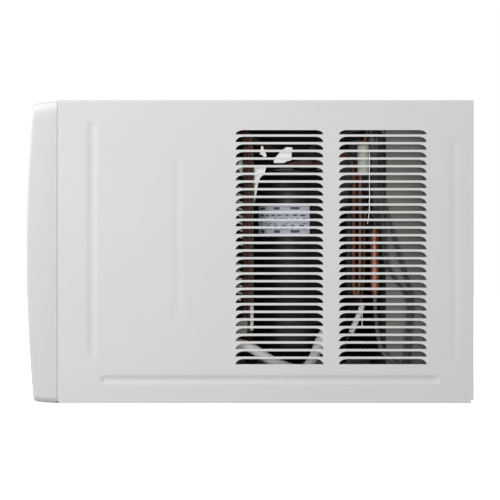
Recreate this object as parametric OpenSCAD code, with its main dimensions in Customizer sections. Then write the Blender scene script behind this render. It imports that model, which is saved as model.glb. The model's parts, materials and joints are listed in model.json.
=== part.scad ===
// Window air conditioner with a slide-out chassis.
// The room side faces -Y, the outdoor side faces +Y, and the unit stands on Z = 0.

/* [Cabinet] */
// Overall width
unit_w = 660; // [650:1:670]
// Overall height
unit_h = 455; // [452:1:460]
// Overall depth, from the bowed front to the rear rim
unit_d = 671; // [669:1:675]
// Thickness of the pressed steel panels
sheet = 1; // [0.8:0.1:1.2]
// Radius of the long top edges
top_r = 3; // [2:0.5:4]
// Height of the floor panel's rim
rim_h = 4.5; // [4:0.5:6]

/* [Louvres] */
// Number of louvres in each side column
louvre_n = 31; // [20:1:31]
// Height from one louvre to the next
louvre_pitch = 11.5; // [11:0.5:11.5]
// Height of each slot
louvre_h = 8; // [6:0.5:8]
// Depth of the flap that is lanced inwards
flap_d = 8; // [6:0.5:8]

/* [Front] */
// Depth of the moulded front
front_d = 46; // [45:1:48]
// Wall thickness of the moulded front
wall = 2.5; // [2:0.5:3]
// Radius of the bowed front face, seen from the side
bow_r = 2490; // [2300:10:2700]

/* [Chassis] */
// Height of the base pan's rim above its floor
pan_h = 35; // [30:1:36]
// Radius of the compressor shell
comp_r = 66; // [62:1:66]
// Radius of the blower wheel
wheel_r = 106; // [100:1:108]
// Radius of the condenser fan at its slinger ring
fan_r = 181.5; // [175:0.5:182]

/* [Hidden] */
$fn = 48;
ex = unit_w / 2;               // outer face of the side panels
y_front = -unit_d / 2;
y_back = unit_d / 2;
y_seam = y_front + front_d;    // rear edge of the moulded front
y_cab = y_seam + 0.5;          // front edge of the cabinet
zc = unit_h / 2;
col_y = [[-21.5, 110], [133.5, 265]]; // the two louvre columns
col_z = 58.5;                         // lower edge of the lowest slot
top_cols = [-250, -80, 90];           // left ends of the top louvre columns
top_slot_w = 160;
top_rows = 16;
rear_flange = 14;
y_flange = y_back - 3;         // outer face of the rear flange
floor_t = 1.2;
pan_z = 8;                     // underside of the base pan
pan_in = pan_z + 1.2;          // floor inside the base pan
pan_x = 313;
pan_y = [-285, 325];
frame_z = 438;                 // top of the bulkhead and fan shroud
axis_x = -90;                  // fan motor axis, along Y
axis_z = 232;
shaft_r = 6;
bulk_y = [-52, -50.8];
coil_x = 286;                  // half length of both coils
tube_r = 4.8;
tube_pitch = 25.4;
comp = [215, 70];
comp_z = [54, 355];
acc = [192, 157];              // suction accumulator
acc_r = 20;
shroud_y = [206, 262];
outlet = [-300, 60, 348, 430]; // x0, x1, z0, z1 of the opening in the moulded front
panel = [76, 306, 348, 430];
intake = [-300, 300, 34, 326];
blade_y = -312;
blade_z = [363.5, 389, 414.5];
blade_chord = 23;
pin_r = 2;
button_z = 366;
button_x = [for (i = [0:5]) 111 + 32 * i];
button_w = 22;
button_h = 10;
display = [151, 231, 391, 415];
filter_y = [-312, -304];
filter_z = [36, 324];
gland = [-312, 20];            // y and z of the cord outlet in the left wall
rear_screw_z = [40, 170, 300, 425];
brace_x = 145;
fit = 0.3;

// ---- helpers ----

// Block between two corners
module block(lo, hi) translate(lo) cube(hi - lo);

// Outline in X and Z, extruded along Y
module along_y(y0, y1) translate([0, y1, 0]) rotate([90, 0, 0]) linear_extrude(y1 - y0) children();

// Outline in Y and Z, extruded along X
module along_x(x0, x1) translate([x0, 0, 0]) rotate([90, 0, 90]) linear_extrude(x1 - x0) children();

// Outline in X and Y, extruded along Z
module along_z(z0, z1) translate([0, 0, z0]) linear_extrude(z1 - z0) children();

// The same pieces on both sides of the unit
module both_sides() {
    children();
    mirror([1, 0, 0]) children();
}

// Rod along Y
module rod_y(x, z, r, y0, y1) along_y(y0, y1) translate([x, z]) circle(r);

// Rectangle between two corners
module rect(lo, hi) translate(lo) square(hi - lo);

// Long hole with round ends
module stadium(l, w) {
    square([l - w, w], center = true);
    for (s = [-1, 1]) translate([s * (l - w) / 2, 0]) circle(w / 2);
}

// Flat lower edge and round upper corners, as a lanced louvre leaves
module d_shape(w, h) intersection() {
    union() {
        translate([h, 0]) square([w - 2 * h, h]);
        for (x = [h, w - h]) translate([x, 0]) circle(h);
    }
    square([w, h]);
}

// Points of a smooth curve through the points of a route
function spline_point(a, b, c, d, t) =
    0.5 * (2 * b + (c - a) * t + (2 * a - 5 * b + 4 * c - d) * t * t
        + (3 * b - a - 3 * c + d) * t * t * t);
function smooth(p, n) = let (m = len(p) - 1) concat(
    [for (i = [0:m - 1], k = [0:n - 1])
        spline_point(p[max(i - 1, 0)], p[i], p[i + 1], p[min(i + 2, m)], k / n)],
    [p[m]]);
function unit(v) = v / norm(v);
function tangents(p) = let (m = len(p) - 1)
    [for (i = [0:m]) unit(p[min(i + 1, m)] - p[max(i - 1, 0)])];
function across(v) = unit(cross(v, abs(v.z) < 0.9 ? [0, 0, 1] : [1, 0, 0]));

// Tube or wire swept along a route, smoothed with n steps between its points
module sweep(route, r, sides = 8, n = 3) {
    p = smooth(route, n);
    t = tangents(p);
    m = len(p);
    u = [for (i = 0, w = across(t[0]); i < m;
        i = i + 1, w = i < m ? unit(w - (w * t[i]) * t[i]) : w) w];
    rings = [for (i = [0:m - 1], j = [0:sides - 1]) let (a = j * 360 / sides)
        p[i] + r * (cos(a) * u[i] + sin(a) * cross(t[i], u[i]))];
    walls = [for (i = [0:m - 2], j = [0:sides - 1]) let (k = (j + 1) % sides)
        [i * sides + j, (i + 1) * sides + j, (i + 1) * sides + k, i * sides + k]];
    ends = [[for (j = [0:sides - 1]) j], [for (j = [sides - 1:-1:0]) (m - 1) * sides + j]];
    polyhedron(rings, concat(walls, ends), convexity = 4);
}

// ---- cabinet ----

// Groove pressed into the right-hand side panel: middle, length and width
module groove(y, z, l, w, turn, x0, x1)
    along_x(x0, x1) translate([y, z]) rotate(turn) stadium(l, w);

grooves = [[-237, 247, 354, 18, 90], [-110, 248, 252, 21, 90], [30.5, 36.5, 511, 15, 0]];

// Steel side panel, with louvres in the columns given
module side_panel(columns) difference() {
    union() {
        along_x(ex - sheet, ex) difference() {
            rect([y_cab, rim_h], [y_back, unit_h - top_r]);
            for (c = columns, k = [0:louvre_n - 1])
                translate([c[0], col_z + k * louvre_pitch]) d_shape(c[1] - c[0], louvre_h);
        }
        for (c = columns, k = [0:louvre_n - 1])
            translate([ex - sheet, c[0], col_z + k * louvre_pitch - sheet]) rotate([0, 0, 90])
                linear_extrude(sheet) d_shape(c[1] - c[0], flap_d);
        for (g = grooves) groove(g[0], g[1], g[2] + 2, g[3] + 2, g[4], ex - sheet - 1.8, ex - 0.5);
        block([ex - rear_flange, y_flange - sheet, 8], [ex - 0.5, y_flange, unit_h - 8]);
    }
    for (g = grooves) groove(g[0], g[1], g[2], g[3], g[4], ex - 1.8, ex + 1);
    for (z = rear_screw_z) rod_y(ex - 8, z, 2.2, y_flange - 2, y_flange + 1);
}

module cabinet_right_side() color("whitesmoke") side_panel(col_y);

module cabinet_left_side() color("whitesmoke") mirror([1, 0, 0]) side_panel([]);

module cabinet_top() color("whitesmoke") difference() {
    union() {
        along_y(y_cab, y_back) {
            rect([top_r - ex, unit_h - sheet], [ex - top_r, unit_h]);
            for (s = [-1, 1]) intersection() {
                translate([s * (ex - top_r), unit_h - top_r]) difference() {
                    circle(top_r);
                    circle(top_r - sheet);
                }
                translate([s * (ex - top_r / 2), unit_h - top_r / 2]) square(top_r, center = true);
            }
        }
        both_sides() block([ex - 2 * sheet, y_cab + 4, unit_h - 16], [ex - sheet, y_flange - 2, unit_h - 0.5]);
        for (x = top_cols, k = [0:top_rows - 1])
            translate([x, 26 + 14 * k, unit_h - sheet]) rotate([-90, 0, 0])
                linear_extrude(sheet) d_shape(top_slot_w, 6);
    }
    for (x = top_cols, k = [0:top_rows - 1])
        translate([x, 27 + 14 * k, unit_h - 2]) linear_extrude(4) d_shape(top_slot_w, louvre_h);
    for (s = [-1, 1]) translate([s * 240, -150, unit_h - 5]) cylinder(r = 2.2, h = 10);
}

module cabinet_floor() color("gainsboro") difference() {
    union() {
        block([-ex, y_cab + 4, 0], [ex, y_back - 4, floor_t]);
        both_sides() {
            along_x(ex - sheet, ex) polygon([[y_cab + 4, 0], [y_back - 4, 0],
                [y_back - 4, rim_h], [y_cab, rim_h], [y_cab, rim_h - 0.5]]);
            block([ex - 2 * sheet, y_cab + 8, 0.5], [ex - sheet, y_flange - 2, 16]);
        }
    }
    for (x = [-200, 200], y = [-170, -90]) translate([x, y, -1]) cylinder(r = 3.3, h = 5);
}

module slide_rails() color("dimgray") both_sides() difference() {
    block([235, -280, floor_t], [265, 325, pan_z - fit]);
    block([239, -281, 0], [261, 326, pan_z - fit - 1.5]);
}

module rear_guard() color("whitesmoke") along_y(y_flange, y_flange + 1.2) difference() {
    rect([1.5 - ex, 6], [ex - 1.5, unit_h - 4]);
    for (k = [-18:17], z = [24, 162, 300]) rect([k * 16.5 + 2.2, z], [k * 16.5 + 14.3, z + 130]);
    for (s = [-1, 1], z = rear_screw_z) translate([s * (ex - 8), z]) circle(2.2);
}

module cabinet_screws() color("silver")
    for (s = [-1, 1], z = rear_screw_z) {
        difference() {
            rod_y(s * (ex - 8), z, 4, y_flange + 1.2, y_flange + 2.9);
            for (a = [0, 90]) translate([s * (ex - 8), y_flange + 3, z]) rotate([0, a, 0])
                cube([5, 2, 0.9], center = true);
        }
        rod_y(s * (ex - 8), z, 2, y_flange - 6, y_flange + 1.2);
    }

// ---- chassis structure ----

module base_pan() color("silver") difference() {
    block([-pan_x, pan_y[0], pan_z], [pan_x, pan_y[1], pan_z + pan_h]);
    block([1.2 - pan_x, pan_y[0] + 1.2, pan_in], [pan_x - 1.2, pan_y[1] - 1.2, 100]);
    translate([-240, 120, 0]) cylinder(r = 9, h = 20);
}

module bulkhead() color("silver") along_y(bulk_y[0], bulk_y[1]) difference() {
    rect([-311, pan_in], [311, frame_z]);
    translate([axis_x, axis_z]) circle(30);
    translate([285, 405]) circle(14);
    translate([298, 88]) circle(11);
    translate([300, 55]) circle(5);
    translate([brace_x, frame_z - 12]) circle(2.2);
}

module top_brace() color("silver") difference() {
    union() {
        block([brace_x - 15, bulk_y[1], frame_z - 1.5], [brace_x + 15, shroud_y[0], frame_z]);
        block([brace_x - 15, bulk_y[1], frame_z - 22], [brace_x + 15, bulk_y[1] + 1.5, frame_z]);
        block([brace_x - 15, shroud_y[0] - 1.5, frame_z - 22], [brace_x + 15, shroud_y[0], frame_z]);
    }
    rod_y(brace_x, frame_z - 12, 2.2, bulk_y[0], shroud_y[1]);
}

module chassis_screws() color("silver") for (y = [bulk_y[1] + 1.5, shroud_y[0] - 1.5]) {
    in = y < 0 ? -1 : 1;
    translate([brace_x, y, frame_z - 12]) rotate([in * 90, 0, 0]) cylinder(r = 4, h = 2.2);
    translate([brace_x, y, frame_z - 12]) rotate([in * -90, 0, 0]) cylinder(r = 2, h = 6);
}

// ---- coils ----

// U-bends at both ends of a coil with rows of tubes
module bends(rows, z0, ys) both_sides() for (y = ys, k = [0:2:rows - 2])
    translate([coil_x + 1.2, y, z0 + (k + 0.5) * tube_pitch])
        rotate([-90, 0, 0]) rotate([0, 0, -90]) rotate_extrude(angle = 180)
            translate([tube_pitch / 2, 0]) circle(tube_r);

module evaporator_fins() color("gainsboro") block([-coil_x, -272, 50], [coil_x, -222, 332]);

module evaporator_tubes() color("peru") bends(10, 76, [-260, -236]);

module evaporator_end_plates() color("silver") both_sides()
    block([coil_x, -276, pan_in], [coil_x + 1.2, -218, 340]);

module condenser_fins() color("gainsboro") block([-coil_x, 266, 50], [coil_x, 320, 432]);

module condenser_tubes() color("peru") bends(14, 76, [281, 305]);

module condenser_end_plates() color("darkgray") both_sides()
    block([coil_x, 262, pan_in], [coil_x + 1.2, 323, frame_z]);

// ---- air system ----

// Radius of the blower scroll at an angle from +X
function scroll_r(a) = wheel_r + 12 + (45 - a) * 58 / 225;
function scroll_at(a, grow) = [axis_x + (scroll_r(a) + grow) * cos(a), axis_z + (scroll_r(a) + grow) * sin(a)];

module scroll_wall() {
    top = 342;
    left = axis_x - scroll_r(-180);
    right = scroll_at(45, 0);
    polygon(concat(
        [[right.x, top], right], [for (a = [40:-5:-180]) scroll_at(a, 0)], [[left, top], [left - 3, top]],
        [for (a = [-180:5:40]) scroll_at(a, 3)],
        [[right.x + 3, scroll_at(45, 3).y], [right.x + 3, top]]));
}

module blower_housing() color("whitesmoke") {
    along_y(-213, -210) difference() {
        rect([-290, pan_in], [88, 342]);
        translate([axis_x, axis_z]) circle(wheel_r - 14);
    }
    along_y(-210, -62) scroll_wall();
    along_y(-62, -59) difference() {
        rect([-290, pan_in], [88, 342]);
        translate([axis_x, axis_z]) circle(20);
    }
}

module outlet_duct() color("whitesmoke") difference() {
    block([-300, y_seam - 0.4, 342], [60, -59, 435]);
    block([-297, y_seam - 1, 345], [57, -62, 432]);
    block([axis_x - scroll_r(-180) + 1, -209, 340], [scroll_at(45, 0).x - 1, -63, 346]);
}

module fan_motor() color("dimgray") translate([axis_x, 52, axis_z]) rotate([90, 0, 0])
    rotate_extrude() difference() {
        polygon([[shaft_r + 0.05, -6], [16, -6], [18, 0], [60, 0], [68, 8], [68, 82], [60, 90],
            [18, 90], [16, 96], [shaft_r + 0.05, 96]]);
        for (y = [26, 64]) rect([66.8, y - 1.5], [70, y + 1.5]);
    }

module motor_bracket() color("silver") {
    for (y = [-20, 32]) along_y(y, y + 2) difference() {
        rect([axis_x - 58, pan_in + 2], [axis_x + 58, axis_z - 20]);
        translate([axis_x, axis_z]) circle(68.2);
        translate([axis_x, 90]) circle(30);
    }
    block([axis_x - 70, -30, pan_in], [axis_x + 70, 44, pan_in + 2]);
}

module fan_shroud() color("darkgray") {
    along_y(shroud_y[0], shroud_y[0] + 1.2) difference() {
        rect([-290, pan_in], [290, frame_z]);
        translate([axis_x, axis_z]) circle(fan_r + 5.5);
        translate([brace_x, frame_z - 12]) circle(2.2);
    }
    both_sides() block([288.8, shroud_y[0], pan_in], [290, shroud_y[1] - fit, frame_z]);
    block([-290, shroud_y[0], frame_z - 1.2], [290, shroud_y[1] - fit, frame_z]);
}

module motor_shaft() color("silver") rod_y(axis_x, axis_z, shaft_r, -203, 218);

module blower_wheel() color("dimgray") translate([axis_x, 0, axis_z]) {
    difference() {
        union() {
            rod_y(0, 0, wheel_r, -94, -92);
            rod_y(0, 0, 16, -92, -68);
        }
        rod_y(0, 0, shaft_r + 0.02, -95, -67);
    }
    along_y(-199, -195) difference() {
        circle(wheel_r);
        circle(wheel_r - 22);
    }
    along_y(-195, -94.02) for (k = [0:35]) rotate(k * 10) translate([wheel_r - 11, 0]) rotate(35)
        square([20, 1.2], center = true);
}

module condenser_fan() color("dimgray") translate([axis_x, 0, axis_z]) {
    along_y(172, 214) difference() {
        circle(44);
        circle(shaft_r + 0.02);
    }
    along_y(196, 212) difference() {
        circle(fan_r);
        circle(fan_r - 3.5);
    }
    for (k = [0:4]) rotate([0, k * 72, 0]) intersection() {
        translate([108, 190, 0]) rotate([16, 0, 0]) cube([160, 2, 220], center = true);
        along_y(150, 240) intersection() {
            difference() {
                circle(fan_r - 2);
                circle(40);
            }
            polygon([[0, 0], [220, -120], [220, 120]]);
        }
    }
}

// ---- compressor ----

// Half outline of a vessel with rounded ends: radius, lower and upper heights, height of each end
module vessel_outline(r, z0, z1, end) {
    rect([0, z0 + end], [r, z1 - end]);
    for (z = [z0 + end, z1 - end]) intersection() {
        translate([r - end, z]) circle(end);
        rect([0, z0], [r, z1]);
    }
    rect([0, z0], [r - end, z1]);
}

module compressor_shell() color("black") translate([comp.x, comp.y, 0]) {
    rotate_extrude() {
        vessel_outline(comp_r, comp_z[0] + 4, comp_z[1], 34);
        rect([0, 118], [comp_r + 1, 126]);
    }
    along_z(comp_z[0] - 4, comp_z[0] + 4) difference() {
        union() {
            circle(40);
            for (a = [60, 180, 300]) rotate(a) translate([40, 0]) stadium(100, 34);
        }
        for (a = [60, 180, 300]) rotate(a) translate([78, 0]) circle(5);
    }
}

module compressor_grommets() color("black") for (a = [60, 180, 300])
    translate([comp.x, comp.y, pan_in]) rotate(a) translate([78, 0, 0]) {
        cylinder(r = 13, h = comp_z[0] - 4 - pan_in);
        cylinder(r = 4.9, h = comp_z[0] + 8 - pan_in);
        translate([0, 0, comp_z[0] + 4 - pan_in]) cylinder(r = 9, h = 4);
    }

module compressor_terminal_cover() color("dimgray") translate([comp.x, comp.y + 14, comp_z[1]]) {
    along_z(0, 18) stadium(56, 38);
    along_z(18, 22) stadium(20, 8);
}

module compressor_label() color("lightsteelblue") translate([comp.x, comp.y, 251])
    rotate([0, 0, -59]) rotate_extrude(angle = 77) rect([comp_r, 0], [comp_r + 0.3, 46]);

module compressor_accumulator() color("black") {
    translate([acc.x, acc.y, 0]) rotate_extrude() vessel_outline(acc_r, 150, 300, 12);
    sweep([[192, 157, 151], [192, 157, 138], [196, 150, 124], [203, 138, 116], [207, 131, 114]], 4.5);
    block([acc.x - 6, comp.y + comp_r - 3, 220], [acc.x + 6, acc.y - acc_r + 2, 236]);
}

// ---- refrigerant lines ----

module discharge_line() color("peru") sweep([[236, 106, 349], [236, 106, 364], [247, 124, 376],
    [260, 148, 372], [264, 158, 350], [264, 158, 260], [264, 158, 180], [264, 162, 160],
    [264, 167, 180], [264, 168, 260], [264, 169, 350], [268, 176, 400], [284, 186, 422],
    [298, 200, 429], [301, 226, 430], [301, 262, 430], [299, 277, 425],
    [292, 281, 421], [287.2, 281, 421]], 3.6, 8, 3);

module suction_line() {
    color("whitesmoke") sweep([[287.2, -242, 56], [292, -242, 56], [300, -238, 57], [302, -222, 61],
        [302, -160, 80], [299, -100, 88], [298, -51, 88], [296, -8, 86], [295, 34, 62], [294, 62, 51],
        [292, 82, 50], [289, 97, 68], [285, 108, 96], [278, 121, 112]], 8, 8, 2);
    color("peru") sweep([[278, 121, 112], [262, 140, 126], [236, 168, 160], [227, 177, 220],
        [226, 177, 296], [221, 173, 320], [206, 163, 330], [194, 158, 318], [192, 157, 299]], 5, 8, 3);
}

module filter_drier() color("peru") {
    translate([264, 190.5, 0]) rotate_extrude() vessel_outline(7.5, 160, 264, 5);
    sweep([[264, 190.5, 161], [265, 191, 140], [280, 194, 104], [299, 202, 74], [303, 232, 52],
        [303, 262, 46], [301, 277, 54], [292, 281, 60], [287.2, 281, 60]], 3.2, 8, 3);
}

module capillary_tubes() color("peru") for (s = [0, 4]) sweep([[262 + s, 190.5, 263],
    [262 + s, 189, 280], [260 + s, 180, 292], [258 + s, 174, 270], [262 + s, 174, 200],
    [268 + s, 168, 147], [276 + s, 151, 103], [286 + s, 130, 60], [296 + s, 100, 40],
    [300 + s, 50, 34], [301 + s, -10, 38], [298 + s, -51, 55], [298 + s, -110, 46],
    [300 + s, -200, 38], [299 + s, -250, 40], [292 + s / 2, -260, 42 + s], [287.2, -260, 42 + s]], 1.2, 6, 2);

// ---- electrics ----

module control_box() color("silver") difference() {
    block([70, -280, 344], [306, -66, 436]);
    block([71.2, -278.8, 345.2], [304.8, -67.2, 440]);
    rod_y(285, 405, 12, -70, -60);
}

module run_capacitor() color("silver") translate([190, -90, 372]) rotate([90, 0, 0]) {
    cylinder(r = 24, h = 90);
    for (x = [-10, 10]) translate([x - 3, -4, 90]) cube([6, 1, 10]);
}

module control_board() {
    color("darkgreen") block([84, -318, 352], [298, -316.4, 426]);
    color("black") for (x = button_x) block([x - 3, -321.5, button_z - 3], [x + 3, -318, button_z + 3]);
}

module harness_red() color("firebrick") for (k = [0:2])
    sweep([[282, -66, 402 + 3 * k], [284, -48, 402 + 3 * k], [290 + 3 * k, -24, 408], [297, -8 + 4 * k, 398],
        [298 - 2 * k, -8 + 4 * k, 330], [297, -7 + 5 * k, 240], [294 - k, -6 + 5 * k, 150],
        [278, -6 + 4 * k, 96], [230, -14 + 4 * k, 70], [130, -18 + 4 * k, 84], [30, -14 + 4 * k, 150],
        [-10, -8 + 4 * k, 200], [-23, -6 + 4 * k, 214]], 1.3, 6, 2);

module harness_white() color("white") {
    sweep([[288, -50, 398], [286, -30, 392], [284, -14, 366], [284, -13, 300], [284, -13, 220],
        [284, -12, 156], [276, -16, 110], [262, -26, 80], [246, -36, 66]], 7, 8, 2);
    for (k = [0:1]) sweep([[286, -48, 410 + 3 * k], [284, -24, 414], [276, 10, 396 - 6 * k],
        [256, 48, 380 + 2 * k], [240, 72, 379 + 3 * k], [228, 84, 377 + k * 3]], 1.3, 6, 2);
}

module harness_dark() color("dimgray") {
    sweep([[288, 188, 410], [293, 197, 402], [293, 199, 390], [293, 199, 325]], 5.4, 8, 2);
    for (k = [0:1]) sweep([[229, 88 + 4 * k, 378.5], [238, 98 + 4 * k, 392], [262, 130 + 4 * k, 404],
        [280, 172 + 4 * k, 411], [288, 185 + 2 * k, 410.5]], 1.6, 6, 2);
    for (k = [0:1]) sweep([[293, 197 + 4 * k, 326], [295, 202 + 10 * k, 270], [296, 208 + 22 * k, 206],
        [296, 237 + 6 * k, 156], [296, 237 + 5 * k, 110], [296, 230 + 5 * k, 50],
        [294, 204 + 4 * k, 22], [280, 150 + 4 * k, 14]], 1.6, 6, 2);
}

// White flag connectors on the compressor leads
module wire_connectors() color("white") {
    block([272, 6, 336], [288, 24, 356]);
    block([274, 36, 363], [288, 62, 385]);
    block([276, 15, 371], [287, 25, 388]);
}

module drain_plug() color("black") translate([-240, 120, 0]) {
    along_z(pan_z - 0.1, pan_in) circle(8.9);
    along_z(pan_in, pan_in + 3) circle(12);
}

// ---- moulded front ----

// Rear-to-front outline of the bowed front, inset all round
module front_outline(inset, back) intersection() {
    translate([y_front + bow_r, zc]) circle(bow_r - inset, $fn = 720);
    polygon([[back, inset], [back, unit_h - inset], [y_seam, unit_h - inset],
        [y_front - 1, unit_h - inset - 7], [y_front - 1, inset + 2], [y_seam, inset]]);
}

// Slice of the bowed face: opening limits, gap at its edges, and the skin's two depths
module face_piece(o, gap, near, far) along_x(o[0] + gap, o[1] - gap) intersection() {
    difference() {
        translate([y_front + bow_r, zc]) circle(bow_r - near, $fn = 720);
        translate([y_front + bow_r, zc]) circle(bow_r - far, $fn = 720);
    }
    rect([y_front - 1, o[2] + gap], [y_seam, o[3] - gap]);
}

function face_y(z) = y_front + bow_r - sqrt(bow_r * bow_r - (z - zc) * (z - zc));

module through_front(o) block([o[0], y_front - 1, o[2]], [o[1], y_front + 30, o[3]]);

module front_bezel() color("whitesmoke") difference() {
    along_x(-ex, ex) front_outline(0, y_seam);
    along_x(wall - ex, ex - wall) intersection() {
        front_outline(wall, y_seam);
        rect([y_front - 1, 0], [y_seam - wall, unit_h]);
    }
    block([16 - ex, y_seam - 5, 12], [ex - 16, y_seam + 1, unit_h - 12]);
    for (o = [outlet, panel, intake]) through_front(o);
    block([-ex - 1, filter_y[0] - 0.5, filter_z[0] - 0.5], [wall - ex + 1, filter_y[1] + 0.5, filter_z[1] + 0.5]);
    along_x(-ex - 1, wall - ex + 1) translate(gland) circle(8);
}

module intake_grille() color("whitesmoke") {
    difference() {
        face_piece(intake, 0.2, 0.8, 9.8);
        block([intake[0] + 8, y_front - 1, intake[2] + 8], [intake[1] - 8, y_seam, intake[3] - 8]);
    }
    for (z = [intake[2] + 14:11:intake[3] - 12])
        block([intake[0] + 7, face_y(z) + 1.2, z - 1.1], [intake[1] - 7, face_y(z) + 9.6, z + 1.1]);
    for (x = [-200:100:200]) face_piece([x - 1.2, x + 1.2, intake[2] + 7, intake[3] - 7], 0, 3, 9.8);
}

module outlet_frame() color("dimgray") difference() {
    face_piece(outlet, 0.2, 1, 46);
    block([outlet[0] + 3.2, y_front - 1, outlet[2] + 3.2], [outlet[1] - 3.2, y_seam + 5, outlet[3] - 3.2]);
    block([outlet[0] - 1, y_seam - 0.5, outlet[2] - 1], [outlet[1] + 1, y_seam + 10, outlet[3] + 1]);
    for (z = blade_z) along_x(outlet[0] - 1, outlet[1] + 1) translate([blade_y, z]) circle(pin_r + 0.05);
}

module blade(z) color("whitesmoke") {
    along_x(outlet[0] + 4, outlet[1] - 4) translate([blade_y, z]) {
        square([blade_chord - 2, 2], center = true);
        for (s = [-1, 1]) translate([s * (blade_chord / 2 - 1), 0]) circle(1);
        circle(2.6);
    }
    along_x(outlet[0] + 0.8, outlet[1] - 0.8) translate([blade_y, z]) circle(pin_r);
}

module blade_low() blade(blade_z[0]);

module blade_mid() blade(blade_z[1]);

module blade_top() blade(blade_z[2]);

module control_fascia() color("lightgray") difference() {
    face_piece(panel, 0.2, 0.8, 3.6);
    for (x = button_x) along_y(y_front - 1, y_seam) translate([x, button_z])
        stadium(button_w + 2 * fit, button_h + 2 * fit);
    through_front(display);
}

module display_window() color("black") face_piece(display, 0.1, 1.2, 3.4);

module push_button(k) color("white") translate([button_x[k], face_y(button_z), button_z]) {
    along_y(-0.6, 6) stadium(button_w, button_h);
    along_y(5.2, 6.7) stadium(button_w + 4, button_h + 4);
    along_y(6.7, 8.2) circle(2.5);
}

module button_power() push_button(0);

module button_mode() push_button(1);

module button_fan() push_button(2);

module button_down() push_button(3);

module button_up() push_button(4);

module button_timer() push_button(5);

module front_seal() color("dimgray") along_y(y_seam, y_seam + 4.2) difference() {
    rect([4 - ex, 17], [ex - 4, unit_h - 5]);
    rect([16 - ex, 26], [ex - 16, unit_h - 14]);
}

module filter_frame() color("gray") along_y(filter_y[0], filter_y[1]) difference() {
    rect([0.4 - ex, filter_z[0]], [300, filter_z[1]]);
    for (x = [-318, -114, 90], z = [46, 184]) rect([x, z], [x + 198, z + 130]);
}

module filter_mesh() color("dimgray") for (x = [-318, -114, 90], z = [46, 184])
    block([x, filter_y[1] - 4.5, z], [x + 198, filter_y[1] - 3.5, z + 130]);

module cord_gland() color("black") difference() {
    union() {
        along_x(-ex, wall - ex) translate(gland) circle(8);
        along_x(wall - ex, wall - ex + 4) translate(gland) circle(11);
    }
    along_x(-ex - 1, wall - ex + 5) translate(gland) circle(4.5);
}

cabinet_right_side();
cabinet_left_side();
cabinet_top();
cabinet_floor();
slide_rails();
rear_guard();
cabinet_screws();
base_pan();
bulkhead();
top_brace();
chassis_screws();
evaporator_fins();
evaporator_tubes();
evaporator_end_plates();
blower_housing();
outlet_duct();
fan_motor();
motor_bracket();
fan_shroud();
condenser_fins();
condenser_tubes();
condenser_end_plates();
compressor_shell();
compressor_accumulator();
compressor_terminal_cover();
compressor_label();
compressor_grommets();
discharge_line();
suction_line();
filter_drier();
capillary_tubes();
run_capacitor();
control_box();
control_board();
harness_red();
harness_white();
harness_dark();
wire_connectors();
drain_plug();
cord_gland();
front_bezel();
intake_grille();
outlet_frame();
control_fascia();
display_window();
front_seal();
filter_frame();
filter_mesh();
motor_shaft();
blower_wheel();
condenser_fan();
button_power();
button_mode();
button_fan();
button_down();
button_up();
button_timer();
blade_low();
blade_mid();
blade_top();
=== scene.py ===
import math
import random

import bmesh
import bpy
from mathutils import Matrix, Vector
from mathutils.geometry import tessellate_polygon
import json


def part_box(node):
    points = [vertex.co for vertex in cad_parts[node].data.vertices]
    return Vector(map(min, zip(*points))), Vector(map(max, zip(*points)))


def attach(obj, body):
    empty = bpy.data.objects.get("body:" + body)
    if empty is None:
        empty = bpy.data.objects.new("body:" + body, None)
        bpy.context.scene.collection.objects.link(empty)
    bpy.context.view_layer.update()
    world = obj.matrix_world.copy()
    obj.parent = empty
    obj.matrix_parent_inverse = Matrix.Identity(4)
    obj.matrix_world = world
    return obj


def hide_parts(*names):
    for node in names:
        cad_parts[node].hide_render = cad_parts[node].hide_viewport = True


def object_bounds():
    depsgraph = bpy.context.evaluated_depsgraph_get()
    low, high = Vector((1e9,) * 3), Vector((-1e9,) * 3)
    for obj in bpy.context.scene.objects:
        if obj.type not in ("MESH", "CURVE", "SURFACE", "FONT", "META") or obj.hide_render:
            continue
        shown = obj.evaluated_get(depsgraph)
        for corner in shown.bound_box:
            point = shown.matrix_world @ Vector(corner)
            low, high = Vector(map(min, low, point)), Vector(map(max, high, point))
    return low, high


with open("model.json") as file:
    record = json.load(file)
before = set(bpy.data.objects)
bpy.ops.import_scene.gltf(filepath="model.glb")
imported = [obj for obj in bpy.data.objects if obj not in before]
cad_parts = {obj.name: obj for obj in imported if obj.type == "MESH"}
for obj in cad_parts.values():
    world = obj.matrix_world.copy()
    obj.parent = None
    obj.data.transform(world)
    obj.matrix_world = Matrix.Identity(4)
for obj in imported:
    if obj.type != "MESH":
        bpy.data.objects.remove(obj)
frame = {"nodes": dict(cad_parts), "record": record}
cad_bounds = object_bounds()
NODES = frame["nodes"]
MM = 0.001


# ---- places, in millimetres

def box_mm(node):
    """Lowest and highest corner of a CAD node."""
    low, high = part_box(node)
    return low / MM, high / MM


SIDE_LOW, SIDE_HIGH = box_mm("cabinet_right_side")
TOP_LOW, TOP_HIGH = box_mm("cabinet_top")
HALF_WIDTH = (Vector(cad_bounds[1]) / MM).x
TOP_RADIUS = 3.0                       # bend along the long top edges
SHEET = 1.0
LOUVRE_COLUMNS = ((-21.5, 110.0), (133.5, 265.0))
LOUVRE_FIRST = 58.5                    # lower edge of the lowest slot
LOUVRE_PITCH = 11.5
LOUVRE_COUNT = 31
LOUVRE_HEIGHT = 8.0
LOUVRE_CORNER = 12.0                   # radius of a slot's upper corners
FLAP_DEPTH = 8.0                       # how far a louvre's flap reaches inwards
FLAP_BEND = 1.3
SLOT_MARGIN = 3.0                      # sheet gridded with the slots, beside their ends
TOP_SLOT_HEIGHT = 6.4                  # the highest slot is cut lower than the rest
TOP_COLUMNS = (-250.0, -80.0, 90.0)
TOP_SLOT_WIDTH = 160.0
TOP_FIRST = 27.0
TOP_PITCH = 14.0
TOP_COUNT = 16
TOP_CORNER = 8.0
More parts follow.
